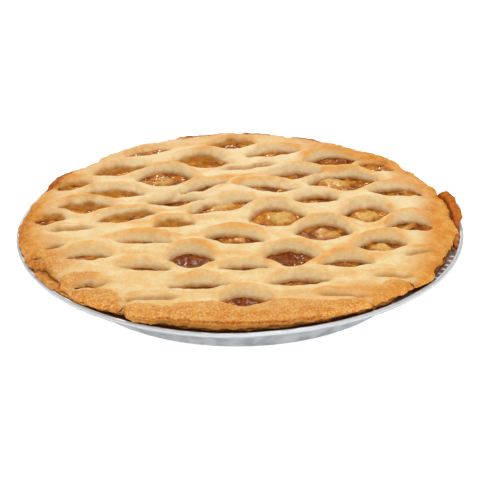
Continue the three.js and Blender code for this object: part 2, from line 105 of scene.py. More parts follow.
# The lid is one sheet cut in staggered rows and pulled open. Each row has the x and y of its opening
# number 0, the distance between openings, the slope and the sag of its line and the number of its first
# opening. Each opening has its length, width, turn in degrees, slide along the row and shift backwards.
ROWS = (
    (3, -96, 52, 0, 0, -1, ((28, 1, 0, 1, -2), (25, 11, 0, 0, -0.8), (26, 1, 0, 0, 0))),
    (30, -78.5, 53, 0.03, 0.0002, -2,
     ((16, 1, 0, -3, 0), (30, 7.5, 2, 2, -1.8), (30, 8.5, 6, 0.5, 0), (20, 1, 8, 0, 0))),
    (1, -60.5, 54, 0.02, 0.0008, -1,
     ((26, 5.5, -8, 2, 0), (24, 5.5, 0, 0.5, 0), (28, 11.5, 2, 0.5, 0.5), (16, 2, 22, -12, 2.7))),
    (25, -51, 51.5, 0.05, 0.0012, -2,
     ((22, 9, 0, -2, 1.8), (24, 18, 0, 0.3, 1), (27, 17.5, 0, 1, 0), (27, 15, 9, -0.8, 3.5))),
    (-2, -27.5, 48, 0.1, 0.0005, -2,
     ((9, 3, 15, -1.5, 0.5), (29, 6.5, -4, -2, 3), (31, 13, -8, -1.3, 1.4), (29, 24, 0, -1, 1.7),
      (23, 15, 0, -1.2, 1.2))),
    (19, -6.5, 51.5, 0.12, 0, -2,
     ((20, 1, 5, -8, 2), (21, 7.5, 12, -4, 2.2), (30, 25, 8, 1.4, 3.4), (28, 20, 4, 0, 0))),
    (-5, 11.5, 49.5, 0.17, 0.0003, -2,
     ((17, 13, 0, 0.3, 4), (33, 11, 20, -8.6, -1), (41, 11, 25, -4.5, 4), (24, 11, 3, -1.9, 3.6),
      (29, 12, -5, -5.6, 2.3))),
    (13, 29.2, 49, 0.24, 0, -2,
     ((30, 12, 0, -0.9, 4.9), (30, 8, 3, 1, 0), (36, 8, -14, 3, 6), (39, 20, 3, -2.6, 0.5))),
    (-18, 41.2, 50, 0.24, 0.0003, -1,
     ((37, 10, 3, -4.6, 5.8), (31, 7, 38, -2.3, 2.9), (28, 11.5, 6, 0.5, 5.4), (24, 15, 0, 0, 6))),
    (6, 60.7, 48.5, 0.2, 0, -2,
     ((20, 13, 5, -3.4, 3.2), (33, 22, 0, 0.3, -0.5), (28, 1, 10, 0, 2), (33, 17, 8, -0.8, 2.6))),
    (-22, 77.5, 46, 0.24, 0, -1, ((30, 11, 16, 0, 2), (33, 18, -8, 0.8, 1.5), (32, 9, 14, -3, 4.6))),
    (-3, 96, 49, 0.12, 0, -1, ((28, 7, 20, -1.5, 2.8), (31, 14, 10, -0.5, 4.6))),
)

# An opening no wider than this is a closed fold
CREASE_WIDTH = 2.5

# How far an opening stays from the edge, the share of its width behind its middle line, how pointed its
# ends are, and the number of its sides
EDGE_MARGIN = 5.5
UPPER_SHARE = 0.6
LENS_SHARPNESS = 1.35
LENS_SIDES = 28

# The strand behind an opening: its height, which grows with the opening's width up to full_at, how far it
# reaches along and across, and how far behind the cut it is highest
RIDGE = dict(least=1.3, most=2.6, full_at=20, along=0.5, behind=3.6, across=4.6)

# Openings whose slopes are soaked with filling: row and number
SOAKED = {
    (4, 1), (5, 2), (6, 1), (6, 2), (7, 1), (8, 1), (8, 4), (9, 1), (10, 1), (10, 2), (11, 1), (11, 2),
}

# Short dark slits where folds of the edge are tucked in: x, y, length, width and turn
SLITS = (
    (-61, -100.3, 5, 1.5, 30), (64.3, -97.2, 5, 1.5, -45), (87.7, -77.3, 5, 1.4, -45),
    (-80.5, -78.6, 11, 1.5, 2), (-110, -44.5, 7, 1.4, 20), (104.5, 7, 7, 1.3, 10),
)

# Rolls along the front edge: points along the crease behind each, from left to right, and its height
ROLLS = (
    (((-96, -69), (-91, -65.8), (-85.5, -64.2), (-79, -64.8), (-74, -66.5)), 0.9),
    (((-87, -83.5), (-80, -82.2), (-72, -82.2), (-66, -84), (-62, -89.5), (-60, -96)), 1.1),
    (((-60, -100.5), (-55, -99), (-47, -99.6), (-41, -102), (-37, -104)), 1.4),
    (((-38, -104), (-33, -100.7), (-23, -99.6), (-13, -99.9), (-6, -102.6), (2.5, -104.4), (9, -102.5),
      (17.5, -98), (28, -97), (38, -99.2), (48, -98), (57, -96.2), (64, -97)), 1.7),
    (((73, -81), (78, -76.3), (83, -74.7), (88, -77)), 1.3),
)

# Places where the lid's edge is broken back, or stands out where the depth is below 0: bearing, half width
# and depth
BREAKS = (
    (8, 15, 3.6), (27, 9, 3.1), (35.5, 3, 1.8), (56, 4, 1.8), (92, 17, -2.3), (124, 11, 0.9), (139, 6, 3.5),
    (151, 6, -0.5), (167, 9, 1.3), (191, 18, -2), (212, 8, 4.4), (229, 8, -1), (238, 4, 1),
    (245.3, 5.5, -2.4), (324, 6, -1.4), (331, 4, 2.4), (342.5, 12, 2.3),
)

# Flakes of the under crust's edge: bearing, half width, how far out and how high they reach
FLAKES = ((5, 17, 6.6, 5.4), (218, 26, 4, 0), (287, 50, 2.4, 0))

# Where the under crust's edge lies on the bead: bearing, half width and strength
LEDGE = ((219, 20, 1),)

# Where the flange and the crust on it lie higher: bearing, half width and size
LIFTED = ((297, 34, 0.9),)

# Where the flange is painted brown, partly juice baked onto it, partly a painted reflection of the crust and
# painted shade beneath it: bearing, half width and strength
JUICE_AND_REFLECTION = ((262, 80, 1), (333, 20, 0.7))

# A stretch of the flange that is bent inwards and down: bearing, half width and the two sizes
BENT = ((33, 22, 2.6, 1.2),)

# Apple pieces that show: row and number of the opening, place along it, share of its length and width, rise
APPLES = (
    (3, 4, 0.0, 0.6, 0.8, 1.8), (4, 3, -0.02, 0.5, 0.7, 0.8), (4, 4, 0.05, 0.66, 0.66, 1.0),
    (4, 5, -0.12, 0.55, 0.7, 1.4), (5, 2, -0.05, 0.6, 0.8, 1.2), (5, 3, 0.08, 0.68, 0.72, 2.4),
    (5, 4, -0.03, 0.68, 0.72, 1.8), (6, 3, -0.04, 0.6, 0.8, 1.5), (7, 4, -0.14, 0.52, 0.76, 1.8),
    (9, 2, -0.12, 0.56, 0.66, 1.4),
)
APPLE_DEPTH = 11
APPLE_SQUARENESS = 0.8


# Numbers

def lerp(low, high, share):
    return low + (high - low) * share


def smoothstep(value, low, high):
    share = np.clip((value - low) / (high - low), 0, 1)
    return share * share * (3 - 2 * share)


def gauss(distance, width):
    return np.exp(-((distance / width) ** 2))


def signed_power(value, power):
    return np.sign(value) * np.abs(value) ** power


def bearing_between(angle, bearing):
    """Degrees from a bearing to an angle in radians, from -180 to 180."""
    return (np.degrees(angle) - bearing + 180) % 360 - 180


def smooth_bump(distance, half):
    """1 over the middle part of the half width, falling smoothly to 0 at its end."""
    return 1 - smoothstep(np.abs(distance), 0.45 * half, half)


def total(places, angle, size=2):
    """The sum at an angle of what places (bearing, half width, sizes...) add, by the number of the size."""
    return sum(place[size] * smooth_bump(bearing_between(angle, place[0]), place[1]) for place in places)


class Noise:
    """Smooth seeded noise in space, from about -1 to 1, in waves of a given length."""

    SIZE = 32

    def __init__(self, seed):
        self.table = np.random.default_rng(seed).uniform(-1, 1, (self.SIZE,) * 3)

    def __call__(self, x, y, z, length):
        places = [np.asarray(value, float) / length for value in np.broadcast_arrays(x, y, z)]
        cells = [np.floor(place).astype(int) for place in places]
        parts = [place - cell for place, cell in zip(places, cells)]
        parts = [part * part * (3 - 2 * part) for part in parts]
        result = 0
        for corner in itertools.product((0, 1), repeat=3):
            weight = 1
            for part, side in zip(parts, corner):
                weight = weight * (part if side else 1 - part)
            index = tuple((cell + side) % self.SIZE for cell, side in zip(cells, corner))
            result = result + weight * self.table[index]
        return 1.5 * result

    def layered(self, x, y, z, length, layers=3):
        """Several waves, each half as long and half as high as the one before."""
        return sum(self(x + 7 * n, y - 5 * n, z + 3 * n, length / 2 ** n) / 2 ** n for n in range(layers))


# Meshes

def mesh_of(name, points, *faces):
    """A mesh of points in millimetres and of arrays of faces, all of one array with as many corners."""
    mesh = bpy.data.meshes.new(name)
    mesh.vertices.add(len(points))
    mesh.vertices.foreach_set("co", (np.asarray(points) * MM).astype(np.float32).ravel())
    corners = np.concatenate([np.full(len(block), block.shape[1]) for block in faces])
    mesh.loops.add(int(corners.sum()))
    order = np.concatenate([block.ravel() for block in faces])
    mesh.loops.foreach_set("vertex_index", order.astype(np.int32))
    mesh.polygons.add(len(corners))
    starts = np.concatenate([[0], np.cumsum(corners)[:-1]]).astype(np.int32)
    mesh.polygons.foreach_set("loop_start", starts)
    mesh.update(calc_edges=True)
    mesh.validate()
    mesh.shade_smooth()
    return mesh


def vectors_of(items, name):
    values = np.zeros(3 * len(items), np.float32)
    items.foreach_get(name, values)
    return values.reshape(-1, 3)


def points_of(mesh):
    return vectors_of(mesh.vertices, "co") / MM


def normals_of(mesh):
    return vectors_of(mesh.vertex_normals, "vector")


def move_points(mesh, points):
    mesh.vertices.foreach_set("co", (points * MM).astype(np.float32).ravel())
    mesh.update()


def set_masks(mesh, **masks):
    """Numbers from 0 to 1 for the points, which a material reads by their name."""
    for name, values in masks.items():
        layer = mesh.attributes.new(name, "FLOAT", "POINT")
        values = np.broadcast_to(np.clip(values, 0, 1), len(mesh.vertices))
        layer.data.foreach_set("value", values.astype(np.float32))


def add_piece(mesh, material, slot, *replaced):
    mesh.materials.append(material)
    piece = bpy.data.objects.new(mesh.name, mesh)
    bpy.context.scene.collection.objects.link(piece)
    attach(piece, "root")
    if replaced:
        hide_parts(*replaced)


def thinned(mesh, most):
    """The mesh with at most that many triangles, kept finest where it bends."""
    mesh.calc_loop_triangles()
    count = len(mesh.loop_triangles)
    if count <= most:
        return mesh
    carrier = bpy.data.objects.new("carrier", mesh)
    bpy.context.scene.collection.objects.link(carrier)
    modifier = carrier.modifiers.new("thin", "DECIMATE")
    modifier.ratio = most / count
    modifier.use_collapse_triangulate = True
    thin = bpy.data.meshes.new_from_object(carrier.evaluated_get(bpy.context.evaluated_depsgraph_get()))
    name = mesh.name
    bpy.data.objects.remove(carrier)
    bpy.data.meshes.remove(mesh)
    thin.name = name
    return thin


def turned(name, profile, sides, place):
    """A closed body turned about the axis. The profile's [radius, height] pairs run from the axis below to
    the axis above, and place gives x, y and z for arrays of radius, height and angle."""
    profile = np.asarray(profile, float)
    angle = np.arange(sides) * 2 * math.pi / sides
    radius, height = profile[1:-1, 0][:, None], profile[1:-1, 1][:, None]
    body = np.stack(np.broadcast_arrays(*place(radius, height, angle[None, :])), axis=-1).reshape(-1, 3)
    points = np.vstack([body, [0, 0, profile[0, 1]], [0, 0, profile[-1, 1]]])
    rings = len(profile) - 2
    here = np.arange(rings * sides).reshape(rings, sides)
    there = np.roll(here, -1, axis=1)
    quads = np.stack([here[:-1], there[:-1], there[1:], here[1:]], axis=-1).reshape(-1, 4)
    below, above = len(body), len(body) + 1
    first = np.stack([np.full(sides, below), there[0], here[0]], axis=-1)
    last = np.stack([here[-1], there[-1], np.full(sides, above)], axis=-1)
    return mesh_of(name, points, quads, first, last)


def on_circle(radius, height, angle):
    return radius * np.cos(angle), radius * np.sin(angle), height


def rounded(profile, rounds):
    """Cuts a profile's corners, so that they turn softly. Its two ends stay."""
    line = np.asarray(profile, float)
    for _ in range(rounds):
        near, far = lerp(line[:-1], line[1:], 0.25), lerp(line[:-1], line[1:], 0.75)
        line = np.vstack([line[:1], np.stack([near, far], axis=1).reshape(-1, 2)[1:-1], line[-1:]])
    return line


def surface_net(field, low, cell):
    """Points and quads of the surface where a field on a 3-D grid is zero, facing where it grows."""
    inside = field < 0
    cells = tuple(size - 1 for size in field.shape)
    part = lambda array, corner: array[tuple(slice(c, c + n) for c, n in zip(corner, cells))]
    corners = list(itertools.product((0, 1), repeat=3))
    count = sum(part(inside, corner).astype(np.int8) for corner in corners)
    mixed = np.argwhere((count > 0) & (count < 8))
    number = np.full(cells, -1)
    number[tuple(mixed.T)] = np.arange(len(mixed))
    spot = np.zeros((len(mixed), 3))
    crossings = np.zeros(len(mixed))
    steps = np.eye(3, dtype=int)
    for axis, corner in itertools.product(range(3), corners):
        if corner[axis]:
            continue
        a, b = (field[tuple(end.T)] for end in (mixed + corner, mixed + corner + steps[axis]))
        crosses = (a < 0) != (b < 0)
        share = np.where(crosses, a / np.where(crosses, a - b, 1), 0)
        spot += (corner + share[:, None] * steps[axis]) * crosses[:, None]
        crossings += crosses
    points = low + (mixed + spot / crossings[:, None]) * cell
    quads = []
    for axis in range(3):
        first = 1 - steps[axis]
        here = inside[tuple(slice(start, size - 1) for start, size in zip(first, field.shape))]
        ahead = inside[tuple(slice(1, size - start) for start, size in zip(first, field.shape))]
        edges = np.argwhere(here != ahead)
        one, two = np.delete(steps, axis, axis=0)
        around = [edges + first - a * one - b * two for a, b in ((0, 0), (1, 0), (1, 1), (0, 1))]
        ring = np.stack([number[tuple(at.T)] for at in around], axis=1)
        forward = here[tuple(edges.T)] != (axis == 1)
        quads.append(np.where(forward[:, None], ring, ring[:, ::-1]))
    return points, np.vstack(quads)


# Materials

def linear(code):
    """A colour code such as #e0a050 as linear light."""
    values = [int(code[start:start + 2], 16) / 255 for start in (1, 3, 5)]
    return [value / 12.92 if value <= 0.04045 else ((value + 0.055) / 1.055) ** 2.4 for value in values] + [1]


class Look:
    """A procedural material round one Principled shader."""

    def __init__(self, name, **settings):
        self.material = bpy.data.materials.new(name)
        self.material.use_nodes = True
        self.tree = self.material.node_tree
        self.shader = self.tree.nodes["Principled BSDF"]
        for socket, value in settings.items():
            self.shader.inputs[socket.replace("_", " ")].default_value = value
        self.place = self.tree.nodes.new("ShaderNodeTexCoord").outputs["Object"]

    def put(self, node, socket, value):
        """Links a socket's value, or sets a plain one."""
        if isinstance(value, bpy.types.NodeSocket):
            self.tree.links.new(value, node.inputs[socket])
        else:
            node.inputs[socket].default_value = value

    def mask(self, name):
        node = self.tree.nodes.new("ShaderNodeAttribute")
        node.attribute_type = "GEOMETRY"
        node.attribute_name = name
        return node.outputs["Fac"]

    def noise(self, length, detail=3, stretch=(1, 1, 1)):
        """Noise from 0 to 1 in waves of a length in millimetres."""
        mapping = self.tree.nodes.new("ShaderNodeMapping")
        self.put(mapping, "Vector", self.place)
        mapping.inputs["Scale"].default_value = stretch
        node = self.tree.nodes.new("ShaderNodeTexNoise")
        self.put(node, "Vector", mapping.outputs["Vector"])
        node.inputs["Scale"].default_value = 1 / (length * MM)
        node.inputs["Detail"].default_value = detail
        return node.outputs["Fac"]

    def between(self, value, low, high, start=0, end=1):
        """The value from low to high, spread smoothly from start to end."""
        node = self.tree.nodes.new("ShaderNodeMapRange")
        node.interpolation_type = "SMOOTHSTEP"
        for socket, number in zip(("From Min", "From Max", "To Min", "To Max"), (low, high, start, end)):
            node.inputs[socket].default_value = number
        self.put(node, "Value", value)
        return node.outputs["Result"]

    def math(self, operation, a, b):
        node = self.tree.nodes.new("ShaderNodeMath")
        node.operation = operation
        self.put(node, 0, a)
        self.put(node, 1, b)
        return node.outputs["Value"]

    def mix(self, share, a, b):
        node = self.tree.nodes.new("ShaderNodeMix")
        node.data_type = "RGBA"
        self.put(node, 0, share)
        for socket, colour in ((6, a), (7, b)):
            self.put(node, socket, linear(colour) if isinstance(colour, str) else colour)
        return node.outputs[2]

    def covered(self, colour, *layers):
        """A colour under layers, each a share or a mask's name and the colour that lies there."""
        for share, layer in layers:
            colour = self.mix(self.mask(share) if isinstance(share, str) else share, colour, layer)
        return colour

    def mottled(self, one, other, length, detail=3, low=0.35, high=0.65, most=1, stretch=(1, 1, 1)):
        """One colour with soft patches of the other, in waves of a length in millimetres."""
        return self.mix(self.between(self.noise(length, detail, stretch), low, high, 0, most), one, other)

    def ragged(self, name, length, least, most, detail=4, low=0.3, high=0.7):
        """A mask with noise from least to most added, so that its border is broken up."""
        noise = self.between(self.noise(length, detail), low, high, least, most)
        return self.math("ADD", self.mask(name), noise)

    def relief(self, height, depth, under=None):
        """Bumps of a depth in millimetres."""
        node = self.tree.nodes.new("ShaderNodeBump")
        node.inputs["Distance"].default_value = depth * MM
        node.inputs["Strength"].default_value = 1
        self.put(node, "Height", height)
        if under is not None:
            self.put(node, "Normal", under)
        return node.outputs["Normal"]

    def finish(self, **sockets):
        for socket, value in sockets.items():
            self.put(self.shader, socket.replace("_", " "), value)
        return self.material


# The lid

def opening(row, number, x, y, length, width, turn):
    return dict(row=row, number=number, x=x, y=y, length=length, width=width, turn=math.radians(turn))


def lens(cut):
    """A lens with pointed ends, fuller towards the back where the strand is pushed up."""
    angle = np.arange(LENS_SIDES) * 2 * math.pi / LENS_SIDES
    side = np.sin(angle)
    share = np.where(side > 0, UPPER_SHARE, 1 - UPPER_SHARE)
    across = max(cut["width"], 1) * share * signed_power(side, LENS_SHARPNESS)
    along = cut["length"] / 2 * np.cos(angle)
    return np.stack(to_sheet(cut, along, across), axis=1)


def to_sheet(cut, along, across):
    cos, sin = math.cos(cut["turn"]), math.sin(cut["turn"])
    return cut["x"] + along * cos - across * sin, cut["y"] + along * sin + across * cos


def from_sheet(cut, x, y):
    cos, sin = math.cos(cut["turn"]), math.sin(cut["turn"])
    return (x - cut["x"]) * cos + (y - cut["y"]) * sin, (y - cut["y"]) * cos - (x - cut["x"]) * sin


def lid_radius(angle):
    drift = LID_DRIFT["size"] * np.cos(angle - math.radians(LID_DRIFT["bearing"]))
    ripples = sum(size * np.sin(waves * angle + start) for size, waves, start in LID_RIPPLES)
    return LID_RADIUS + drift + ripples - total(BREAKS, angle)


def kept_inside(cut):
    """An opening that would run out over the edge is shortened and moved inwards."""
    while True:
        x, y = lens(cut).T
        if np.all(np.hypot(x, y) <= lid_radius(np.arctan2(y, x)) - EDGE_MARGIN):
            return cut
        step = 0.5 / math.hypot(cut["x"], cut["y"])
        cut["x"] -= step * cut["x"]
        cut["y"] -= step * cut["y"]
        cut["length"] -= 0.5


def all_openings():
    cuts = []
    for row, (x0, y0, pitch, slope, sag, first, sizes) in enumerate(ROWS):
        for place, (length, width, turn, slide, shift) in enumerate(sizes):
            x = x0 + (first + place) * pitch + slide
            y = y0 + slope * x + sag * x * x + shift
            cuts.append(kept_inside(opening(row, place + 1, x, y, length, width, turn)))
    slits = [opening(None, number, *slit) for number, slit in enumerate(SLITS)]
    return cuts, slits


def from_segment(ax, ay, ex, ey, x, y):
    """How far points lie in x and y from the nearest point of a segment from a, along e."""
    share = np.clip(((x - ax) * ex + (y - ay) * ey) / (ex * ex + ey * ey), 0, 1)
    return x - ax - share * ex, y - ay - share * ey


def outline_distance(outline, x, y):
    """Distance to a closed outline, negative inside."""
    nearest = np.full(x.shape, np.inf)
    inside = np.zeros(x.shape, bool)
    for (ax, ay), (bx, by) in zip(outline, np.roll(outline, -1, axis=0)):
        ex, ey = bx - ax, by - ay
        off_x, off_y = from_segment(ax, ay, ex, ey, x, y)
        nearest = np.minimum(nearest, off_x ** 2 + off_y ** 2)
        if ay != by:
            inside ^= ((ay > y) != (by > y)) & (x < ex * (y - ay) / ey + ax)
    return np.where(inside, -1, 1) * np.sqrt(nearest)


class Grid:
    """A square grid over the pie. Its maps are read back at any point."""

    def __init__(self, reach, cell):
        line = np.arange(-reach, reach + cell, cell)
        self.low, self.cell = line[0], cell
        self.x, self.y = np.meshgrid(line, line, indexing="ij")

    def window(self, x, y, reach):
        spans = []
        for middle in (x, y):
            start = int((middle - reach - self.low) / self.cell)
            spans.append(slice(max(start, 0), start + int(2 * reach / self.cell) + 2))
        return tuple(spans)

    def read(self, values, x, y):
        at = [np.clip((place - self.low) / self.cell, 0, values.shape[0] - 1.001) for place in (x, y)]
        i, j = (place.astype(int) for place in at)
        s, t = at[0] - i, at[1] - j
        near = lerp(values[i, j], values[i + 1, j], s)
        far = lerp(values[i, j + 1], values[i + 1, j + 1], s)
        return lerp(near, far, t)


LID_CELL = 0.6
MOST_TRIANGLES = 196_000
waves = Noise(11)

# Radii that round the shoulders of the strands and the lower edges
ROUNDING = 2.8
LOWER_ROUNDING = 0.9

# How far a cut wall leans out for each millimetre down, dry and where filling has soaked it
WALL_LEAN = 0.35
SOAKED_LEAN = 1.3

# How far the strand in front of an opening dips, the least thickness, the depth of the deepest groove, how
# far the underside sinks below it, and how deep a cut wall stands in the gel
DIP = 1.2
LEAST_THICKNESS = 2.0
MOST_GROOVE = 2.6
CREASE_SINK = 0.9
SUNK = 0.9

# How far the edge swells out past the radius of the solid, and the height of the groove round it
EDGE_SWELL = 0.9
LIP_GROOVE = 26.8

# Where the lid's edge has a lip over that groove, browned and painted darker as shade under the overhang:
# bearing, half width and strength
LIPPED = ((268, 36, 1),)

# The golden crest behind an opening, growing with its width as the strand does
CREST = dict(least=0.6, most=1, full_at=14, along=0.7, across=2.8)

# The crease that runs on from each point of an opening: its strength, how far inside the point it begins
# and where it fades, then the depth and half width of its slit and of the hollow round it
TIP = dict(least=0.6, most=1, full_at=12, inside=4, fades_from=7, fades_to=22)
TIP_GROOVES = ((1.5, 1.3), (1.6, 4.2))

# A closed fold: how far the strand behind stands up and the one in front sinks, and the depth of its slit
FOLD = dict(rise=1.7, sink=0.8, slit=2, baked=0.7)

# The crest of a strand between two openings: how far behind their line, half width, height and browning
STRAND = dict(behind=3.4, width=2.6, height=0.55, baked=0.6)

# The maps that openings, folds and rolls are stamped on, and what the map of distances to a cut begins with
STAMPED = ("arch", "groove", "lean", "crest", "wall", "soak", "roll", "shade", "line")
FAR_FROM_OPENINGS = 40.0


def beside_line(line, x, y):
    """Distance to a line of points, and the distance towards the back from it."""
    nearest = np.full(x.shape, np.inf)
    behind = np.zeros(x.shape)
    for (ax, ay), (bx, by) in zip(line, line[1:]):
        ex, ey = bx - ax, by - ay
        apart = np.hypot(*from_segment(ax, ay, ex, ey, x, y))
        closer = apart < nearest
        side = (ex * (y - ay) - ey * (x - ax)) / math.hypot(ex, ey)
        behind = np.where(closer, side, behind)
        nearest = np.where(closer, apart, nearest)
    return nearest, behind


def by_width(cut, form):
    return lerp(form["least"], form["most"], min(1, cut["width"] / form["full_at"]))


def raise_to(maps, name, values):
    maps[name][...] = np.maximum(maps[name], values)


def stamp_opening(here, cut, x, y):
    """Adds an opening to the maps: the far strand stands up over it and the near one dips."""
    along, across = from_sheet(cut, x, y)
    width, length = cut["width"], cut["length"]
    soaked = (cut["row"], cut["number"]) in SOAKED
    draw = np.random.default_rng(100 * cut["row"] + cut["number"])
    stands, bakes = draw.uniform(0.85, 1.15), draw.uniform(0.55, 1.2)
    apart = outline_distance(lens(cut), x, y)
    reach = gauss(along, RIDGE["along"] * length)
    far = smoothstep(across, -1, 2)
    height = by_width(cut, RIDGE)
    here["arch"] += stands * height * reach * far * gauss(apart - RIDGE["behind"], RIDGE["across"])
    here["arch"] -= DIP * reach * (1 - far) * gauss(apart - 1, 3.5)
    crest = by_width(cut, CREST) * far * gauss(apart - RIDGE["behind"], CREST["across"])
    raise_to(here, "crest", bakes * (crest * gauss(along, CREST["along"] * length)))
    raise_to(here, "wall", 1 - smoothstep(apart, 1.5, 3.5))
    raise_to(here, "soak", soaked * (1 - smoothstep(apart, 1, 3)))
    nearer = apart < here["gap"]
    lean = (SOAKED_LEAN if soaked else WALL_LEAN) * smoothstep(across, -0.15 * width, 0.25 * width)
    here["lean"][...] = np.where(nearer, lean, here["lean"])
    here["gap"][...] = np.where(nearer, apart, here["gap"])
    past = np.maximum(np.abs(along) - length / 2, 0)
    tip = smoothstep(np.abs(along), length / 2 - TIP["inside"], length / 2)
    tip = tip * (1 - smoothstep(past, TIP["fades_from"], TIP["fades_to"]))
    grooves = sum(depth * gauss(across, half) for depth, half in TIP_GROOVES)
    here["groove"] += by_width(cut, TIP) * tip * grooves


def stamp_crease(here, cut, x, y):
    """Adds a closed fold to the maps: the strand behind stands over the one in front, with a slit between."""
    along, across = from_sheet(cut, x, y)
    reach = 1 - smoothstep(np.abs(along) - cut["length"] / 2, -4, 6)
    behind = smoothstep(across, -0.6, 1)
    stands = FOLD["rise"] * behind * gauss(across - 1, 7)
    here["arch"] += reach * (stands - FOLD["sink"] * (1 - behind) * gauss(across, 3))
    here["groove"] += FOLD["slit"] * reach * gauss(across, 0.9)
    # The line map marks the slit, where painted shade goes into the lid's colour.
    raise_to(here, "line", reach * gauss(across, 0.8))
    raise_to(here, "crest", FOLD["baked"] * reach * behind * gauss(across - 4, 2.6))
    raise_to(here, "wall", reach * behind * (1 - smoothstep(across, 1.6, 3.2)))


def stamp_slit(here, cut, x, y):
    here["gap"][...] = np.minimum(here["gap"], outline_distance(lens(cut), x, y))


def stamp_rolls(maps, x, y):
    """Adds the rolls of the edge. Each rises steeply in front of its crease, and the sheet dips behind it."""
    for line, height in ROLLS:
        apart, behind = beside_line(line, x, y)
        within = 1 - smoothstep(np.sqrt(np.maximum(apart ** 2 - behind ** 2, 0)), 0, 4)
        body = smoothstep(-behind, -0.3, 2.2) * (1 - smoothstep(-behind, 7, 16))
        maps["arch"] += height * body * within
        back = smoothstep(behind, -0.6, 0.2)
        maps["groove"] += back * within * (1.3 * gauss(behind - 0.3, 1.2) + 0.8 * gauss(behind - 0.5, 4.5))
        raise_to(maps, "roll", within * smoothstep(-behind, -0.2, 0.6))
        raise_to(maps, "shade", within * back * gauss(behind, 6))


def stamp_strands(maps, cuts, x, y):
    """Adds the line of each strand's crest, which runs on behind a row's openings from one to the next."""
    for row in range(len(ROWS)):
        line = []
        for cut in sorted((cut for cut in cuts if cut["row"] == row), key=lambda cut: cut["x"]):
            for share in (-1, -0.75, -0.4, 0, 0.4, 0.75, 1):
                back = UPPER_SHARE * cut["width"] * (1 - share * share) ** (LENS_SHARPNESS / 2)
                line.append(to_sheet(cut, share * cut["length"] / 2, back + STRAND["behind"]))
        apart, _ = beside_line(line, x, y)
        maps["arch"] += STRAND["height"] * gauss(apart, STRAND["width"])
        baked = STRAND["baked"] * (0.75 + 0.5 * waves(x, y, 90, 14))
        raise_to(maps, "crest", baked * gauss(apart, STRAND["width"]))


def lid_maps(grid, cuts, slits):
    """Maps of the distance to the nearest opening, of the lid's top and underside, and of its colours."""
    x, y = grid.x, grid.y
    radius, angle = np.hypot(x, y), np.arctan2(y, x)
    warp_x = x + 0.7 * waves(x, y, 0, 9) + 0.25 * waves(x, y, 5, 3)
    warp_y = y + 0.6 * waves(x, y, 20, 8) + 0.25 * waves(x, y, 25, 3)
    maps = {name: np.zeros(x.shape) for name in STAMPED}
    maps["gap"] = np.full(x.shape, FAR_FROM_OPENINGS)
    for cut in cuts + slits:
        stamp = stamp_opening if cut["width"] > CREASE_WIDTH else stamp_crease
        stamp = stamp_slit if cut in slits else stamp
        window = grid.window(cut["x"], cut["y"], cut["length"] / 2 + TIP["fades_to"])
        here = {name: values[window] for name, values in maps.items()}
        stamp(here, cut, warp_x[window], warp_y[window])
    stamp_strands(maps, cuts, warp_x, warp_y)
    stamp_rolls(maps, warp_x, warp_y)
    rim = lid_radius(angle) + EDGE_SWELL + 0.45 * waves(x, y, 40, 4) + 0.3 * waves(x, y, 45, 1.8)
    turn_down = smoothstep(radius, LID_RADIUS - 24, LID_RADIUS - 3)
    flat = lerp(LID_HEIGHT, LID_EDGE_HEIGHT, turn_down)
    swell = 0.5 * waves.layered(x, y, 60, 18, 2) + 0.15 * waves(x, y, 70, 5)
    swell -= 1.2 * (1 - smoothstep(maps["gap"], -1, 5)) ** 2
    maps["groove"] = MOST_GROOVE * np.tanh(maps["groove"] / MOST_GROOVE)
    maps["top"] = flat + swell + maps["arch"] - maps["groove"]
    inner = LID_UNDERSIDE + 0.3 * np.maximum(maps["arch"], 0)
    inner = inner - CREASE_SINK * smoothstep(maps["groove"], 0.5, 2)
    inner = lerp(FILLING_HEIGHT - SUNK, inner, smoothstep(maps["gap"], 3, 7))
    seat = LID_EDGE_UNDERSIDE + 1.5 * total(LIFTED, angle)
    maps["under"] = np.minimum(inner, lerp(LID_UNDERSIDE, seat, smoothstep(radius, rim - 8.5, rim - 1.2)))
    spare = maps["top"] - maps["under"] - LEAST_THICKNESS
    maps["top"] = maps["under"] + LEAST_THICKNESS + 0.5 * (spare + np.hypot(spare, 0.6))
    maps["edge"] = radius - rim
    maps["lip"] = total(LIPPED, angle)
    return maps


def both(a, b, radius):
    """The part in both of two shapes, given by distances, with a rounded edge between them."""
    over_a, over_b = a + radius, b + radius
    return (np.minimum(np.maximum(over_a, over_b), 0)
            + np.hypot(np.maximum(over_a, 0), np.maximum(over_b, 0)) - radius)


def lid_mesh(grid, maps):
    heights = np.arange(LID_EDGE_UNDERSIDE - 2 * LID_CELL, LID_HEIGHT + 6, LID_CELL)
    level = heights[None, None, :]
    lip = (0.3 + 0.5 * maps["lip"][:, :, None]) * gauss(level - LIP_GROOVE, 0.5)
    depth = np.maximum(maps["top"][:, :, None] - level, 0)
    cut = -maps["gap"][:, :, None] - depth * maps["lean"][:, :, None]
    side = np.maximum(cut, maps["edge"][:, :, None] + lip)
    body = both(level - maps["top"][:, :, None], side, ROUNDING)
    body = both(body, maps["under"][:, :, None] - level, LOWER_ROUNDING)
    low = np.array([grid.low, grid.low, heights[0]])
    points, quads = surface_net(body, low, LID_CELL)
    mesh = mesh_of("lid", points, quads)
    normals = normals_of(mesh)
    points = points_of(mesh)
    x, y, z = points.T
    rough = 0.16 * waves(x, y, z, 6) + 0.10 * waves(x, y, z, 2.4)
    outer = smoothstep(np.hypot(x, y), 104, 114)
    rough += outer * (0.2 * waves(x, y, z, 2.2) + 0.12 * waves(x, y, z, 1.3))
    move_points(mesh, points + normals * rough[:, None])
    return thinned(mesh, MOST_TRIANGLES)


# Browned places of the lid: bearing, half width and strength
BROWNED = (
    (8, 15, 0.5), (30, 8, 0.3), (69, 8, 0.85), (85, 7, 0.8), (106, 12, 0.9), (153, 10, 1), (182, 20, 0.5),
    (208, 12, 0.5), (225, 8, 0.3), (318, 12, 0.25), (338, 12, 0.35),
)

